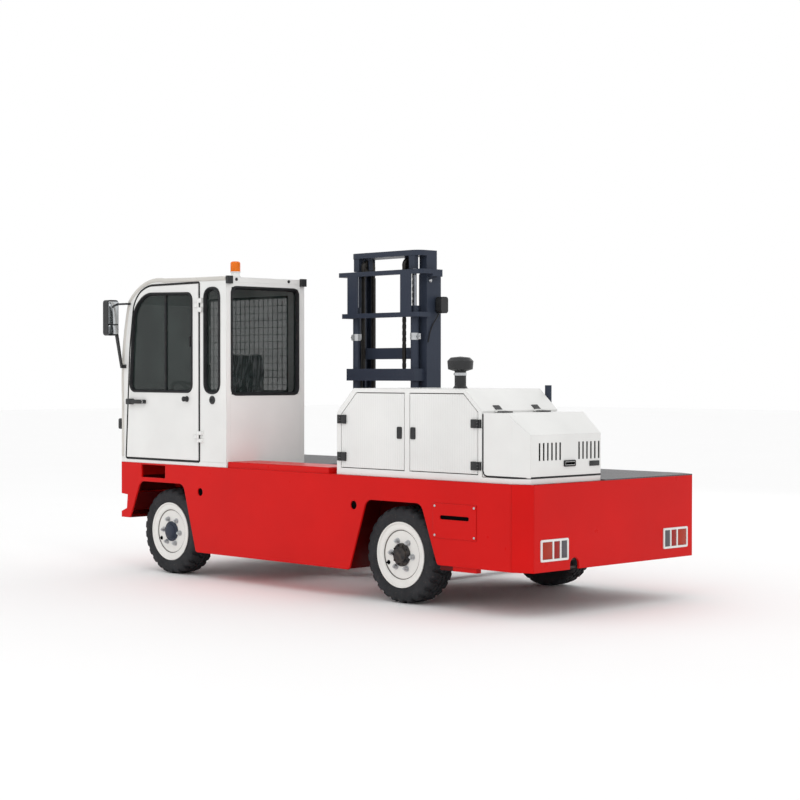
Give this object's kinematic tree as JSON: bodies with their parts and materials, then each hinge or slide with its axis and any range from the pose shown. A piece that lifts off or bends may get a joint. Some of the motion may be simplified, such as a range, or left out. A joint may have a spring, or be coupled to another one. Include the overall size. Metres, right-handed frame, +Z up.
{
  "type": "side loader forklift",
  "caption": "Side loader forklift with a cab and engine hood on one side and a reaching mast in a well between two load decks.",
  "frame": {"origin": "on the floor, below the middle of the whole machine's box with its mast as parked", "axes": "+X forward to the cab end, +Y to the vehicle's left, away from the load decks, +Z up"},
  "size_m": [4.608, 2.54, 2.628],
  "materials": {
    "red_paint": "gloss",
    "white_paint": "gloss",
    "slate_paint": "satin",
    "deck_grey": "satin",
    "axle_black": "satin",
    "rim_paint": "satin",
    "tyre": "matte",
    "glass": "clear",
    "black_plastic": "satin",
    "seat_cover": "matte",
    "beacon_lens": "clear",
    "lamp_lens": "clear",
    "rod_chrome": "polished",
    "chain_steel": "oiled"
  },
  "bodies": {
    "chassis": {"left_side_plate": "red_paint", "right_side_plates": "red_paint", "rear_plate": "red_paint", "front_plate": "red_paint", "left_box_beam": "red_paint", "rear_frame": "red_paint", "front_frame": "red_paint", "reach_rails": "slate_paint", "load_decks": "deck_grey", "hydraulic_tank": "red_paint", "tow_clevis": "axle_black", "tail_lamp_frames": "white_paint", "tail_lamp_lenses": "lamp_lens", "cab_base": "white_paint", "cab_left_frame": "white_paint", "cab_right_frame": "white_paint", "cab_rear_wall": "white_paint", "cab_front_wall": "white_paint", "cab_roof": "white_paint", "cab_glass": "glass", "windscreen": "glass", "load_guard": "white_paint", "seat": "seat_cover", "steering_console": "black_plastic", "cab_lamps": "black_plastic", "beacon": "beacon_lens", "mirror": "black_plastic", "hood_shell": "white_paint", "engine": "axle_black", "precleaner": "black_plastic", "exhaust_stack": "slate_paint", "rear_axle": "axle_black", "front_axle": "axle_black"},
    "knuckle_left": {"knuckle_left": "axle_black"},
    "knuckle_right": {"knuckle_right": "axle_black"},
    "tie_rod": {"tie_rod": "axle_black"},
    "wheel_front_left": {"rim_front_left": "rim_paint", "tyre_front_left": "tyre"},
    "wheel_front_right": {"rim_front_right": "rim_paint", "tyre_front_right": "tyre"},
    "wheel_rear_left": {"rim_rear_left": "rim_paint", "tyre_rear_left": "tyre"},
    "wheel_rear_right": {"rim_rear_right": "rim_paint", "tyre_rear_right": "tyre"},
    "cab_door": {"cab_door": "white_paint", "door_glass": "glass"},
    "hood_door_front": {"hood_door_front": "white_paint"},
    "hood_door_rear": {"hood_door_rear": "white_paint"},
    "rear_hood": {"rear_hood": "white_paint"},
    "mast_carriage": {"mast_carriage": "slate_paint"},
    "outer_mast": {"outer_mast": "slate_paint", "lift_cylinders": "slate_paint", "mast_lamp": "black_plastic"},
    "inner_mast": {"inner_mast": "slate_paint", "lift_rods": "rod_chrome", "lift_chains": "chain_steel"},
    "fork_carriage": {"fork_carriage": "slate_paint", "forks": "slate_paint"},
    "tilt_barrels": {"tilt_barrels": "slate_paint"},
    "tilt_rods": {"tilt_rods": "rod_chrome"}
  },
  "joints": [
    {"name": "steer_left", "type": "hinge", "parent": "chassis", "child": "knuckle_left", "pos_m": [1.648, 0.818, 0.35], "axis": [0, 0, 1], "range_deg": [-35, 35]},
    {"name": "steer_right", "type": "hinge", "parent": "chassis", "child": "knuckle_right", "pos_m": [1.648, -0.47, 0.35], "axis": [0, 0, 1], "range_deg": [-36, 36]},
    {"name": "tie_rod_swing", "type": "hinge", "parent": "knuckle_left", "child": "tie_rod", "pos_m": [1.498, 0.818, 0.237], "axis": [0, 0, 1], "range_deg": [-36, 36]},
    {"name": "spin_front_left", "type": "hinge", "parent": "knuckle_left", "child": "wheel_front_left", "pos_m": [1.648, 0.96, 0.35], "axis": [0, 1, 0], "continuous": true},
    {"name": "spin_front_right", "type": "hinge", "parent": "knuckle_right", "child": "wheel_front_right", "pos_m": [1.648, -0.612, 0.35], "axis": [0, 1, 0], "continuous": true},
    {"name": "spin_rear_left", "type": "hinge", "parent": "chassis", "child": "wheel_rear_left", "pos_m": [-1.039, 0.96, 0.35], "axis": [0, 1, 0], "continuous": true},
    {"name": "spin_rear_right", "type": "hinge", "parent": "chassis", "child": "wheel_rear_right", "pos_m": [-1.039, -0.612, 0.35], "axis": [0, 1, 0], "continuous": true},
    {"name": "cab_door_hinge", "type": "hinge", "parent": "chassis", "child": "cab_door", "pos_m": [1.189, 1.141, 1.6], "axis": [0, 0, 1], "range_deg": [0, 85]},
    {"name": "hood_door_front_hinge", "type": "hinge", "parent": "chassis", "child": "hood_door_front", "pos_m": [-0.46, 1.121, 1.2], "axis": [0, 0, -1], "range_deg": [0, 100]},
    {"name": "hood_door_rear_hinge", "type": "hinge", "parent": "chassis", "child": "hood_door_rear", "pos_m": [-1.836, 1.121, 1.2], "axis": [0, 0, 1], "range_deg": [0, 100]},
    {"name": "rear_hood_hinge", "type": "hinge", "parent": "chassis", "child": "rear_hood", "pos_m": [-1.884, 0.73, 1.397], "axis": [0, 1, 0], "range_deg": [0, 65]},
    {"name": "mast_reach", "type": "slide", "parent": "chassis", "child": "mast_carriage", "axis": [0, -1, 0], "range_m": [-0.53, 0.55]},
    {"name": "mast_tilt", "type": "hinge", "parent": "mast_carriage", "child": "outer_mast", "pos_m": [0.104, -0.04, 0.33], "axis": [1, 0, 0], "range_deg": [-5, 3]},
    {"name": "tilt_barrel_swing", "type": "hinge", "parent": "mast_carriage", "child": "tilt_barrels", "pos_m": [0.104, 0.195, 0.56], "axis": [1, 0, 0], "range_deg": [-8, 6]},
    {"name": "tilt_rod_slide", "type": "slide", "parent": "tilt_barrels", "child": "tilt_rods", "axis": [0, -0.1201, 0.9928], "range_m": [-0.03, 0.02]},
    {"name": "inner_lift", "type": "slide", "parent": "outer_mast", "child": "inner_mast", "axis": [0, 0, 1], "range_m": [0, 1.4]},
    {"name": "fork_lift", "type": "slide", "parent": "inner_mast", "child": "fork_carriage", "axis": [0, 0, 1], "range_m": [0, 1.4]}
  ],
  "couplings": [
    {"joint": "steer_right", "follows": "steer_left", "ratio": 1},
    {"joint": "tie_rod_swing", "follows": "steer_left", "ratio": -1},
    {"joint": "tilt_barrel_swing", "follows": "mast_tilt", "ratio": 1.3204},
    {"joint": "tilt_rod_slide", "follows": "mast_tilt", "m_per_rad": 0.26092},
    {"joint": "fork_lift", "follows": "inner_lift", "ratio": 1}
  ]
}
